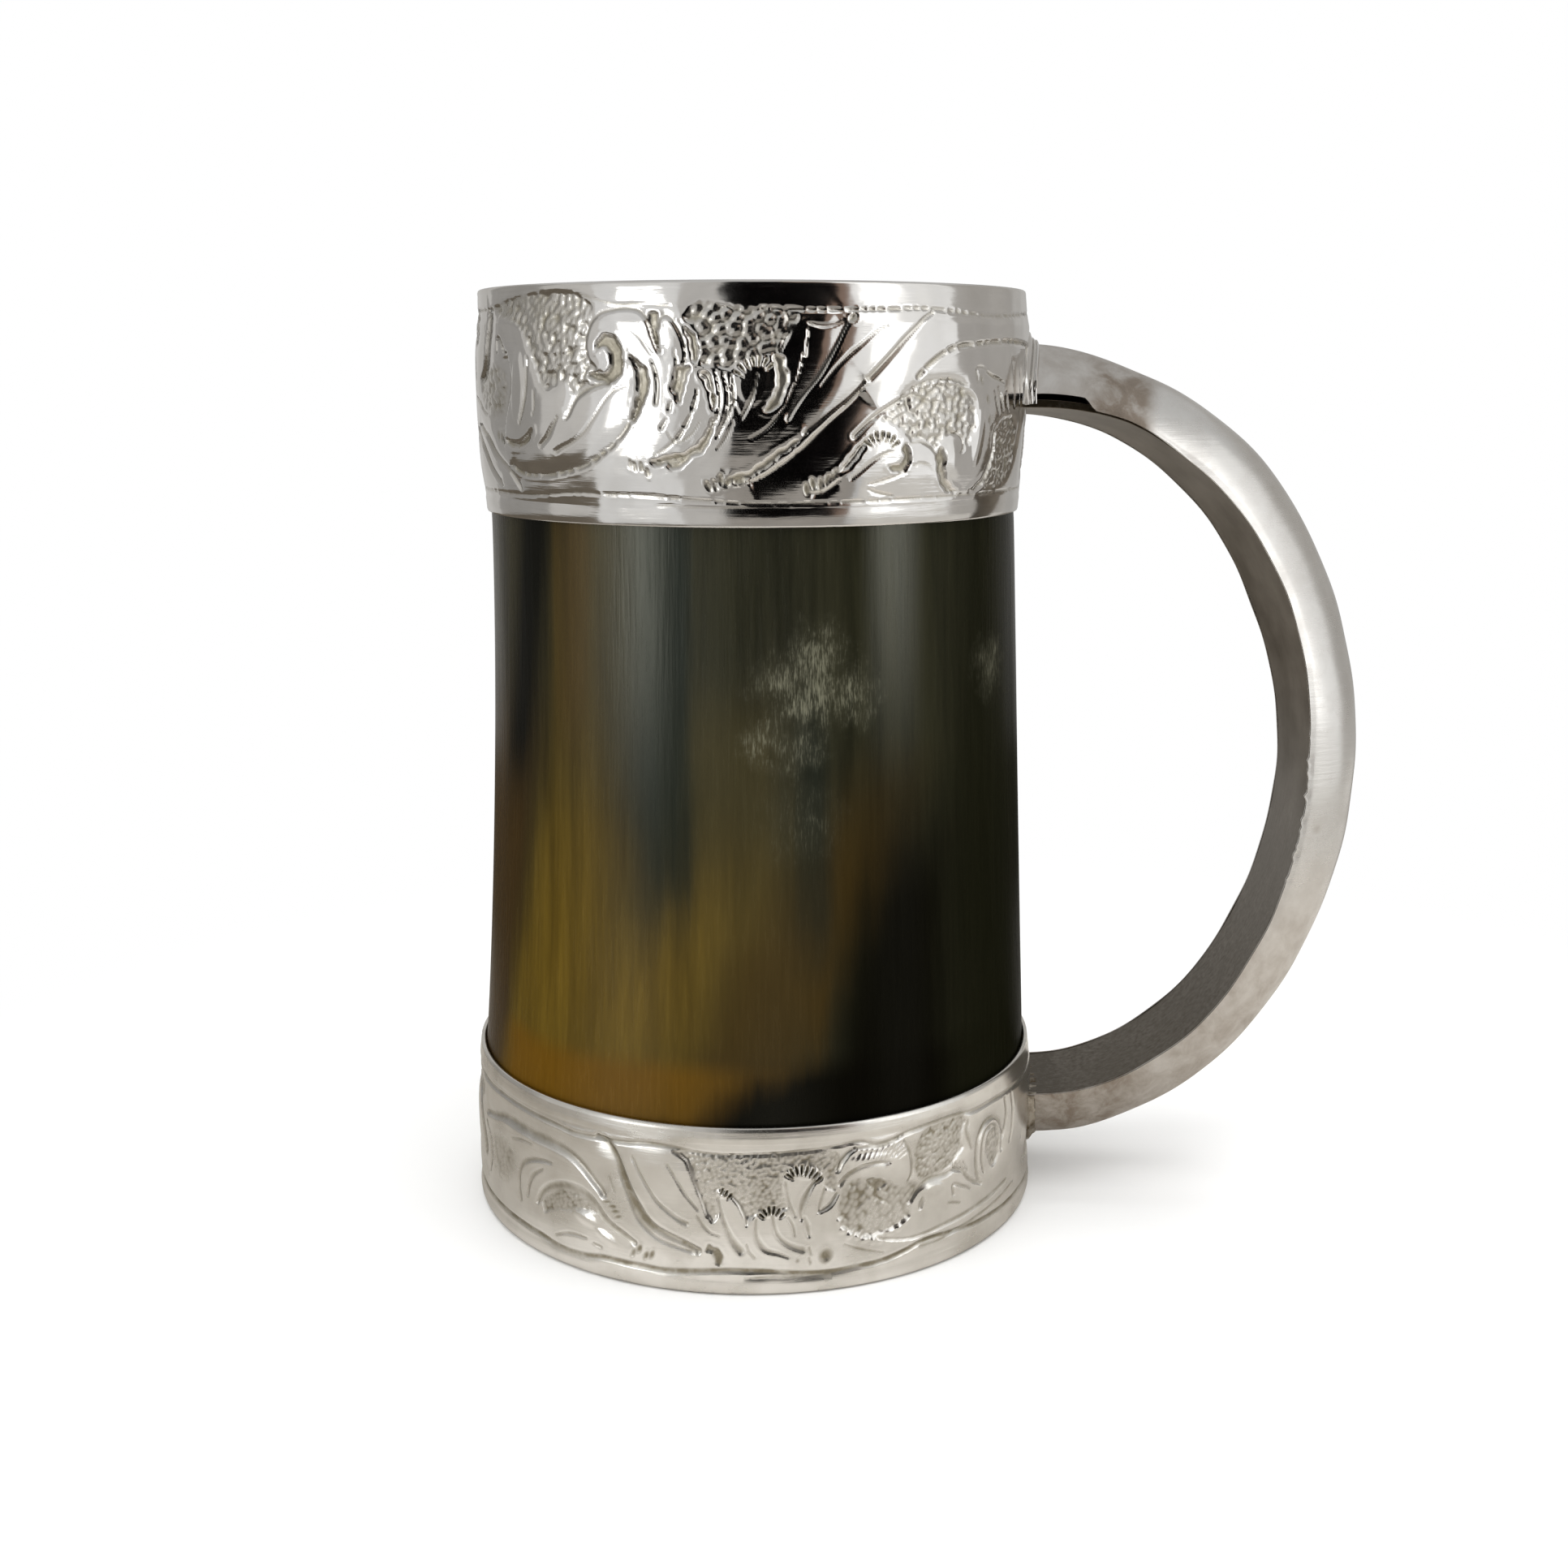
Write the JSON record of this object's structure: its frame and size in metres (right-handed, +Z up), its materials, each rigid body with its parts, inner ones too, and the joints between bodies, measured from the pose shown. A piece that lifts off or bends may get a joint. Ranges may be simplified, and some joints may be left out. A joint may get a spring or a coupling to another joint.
{
  "type": "horn drinking cup",
  "caption": "Horn drinking tankard with chased silver collars at mouth and foot and a hollow, bowed silver handle.",
  "frame": {"origin": "centre of the underside that the cup stands on", "axes": "+Z up along the cup's axis, +X out towards the handle, +Y away from the viewer who has the handle on the right"},
  "size_m": [0.1496, 0.0964, 0.15],
  "materials": {
    "horn": "satin",
    "plug_wood": "satin",
    "resin": "matte",
    "silver": "polished",
    "silver_satin": "satin",
    "solder": "satin"
  },
  "bodies": {
    "root": {"horn_body": "horn", "bottom_plug": "plug_wood", "plug_seal": "resin", "base_plate": "silver_satin", "lower_bedding": "resin", "lower_collar": "silver", "upper_bedding": "resin", "upper_collar": "silver", "lip_lining": "silver", "handle_shell": "silver", "handle_strip": "silver_satin", "upper_ferrule": "silver", "lower_fillet": "solder"}
  },
  "joints": []
}
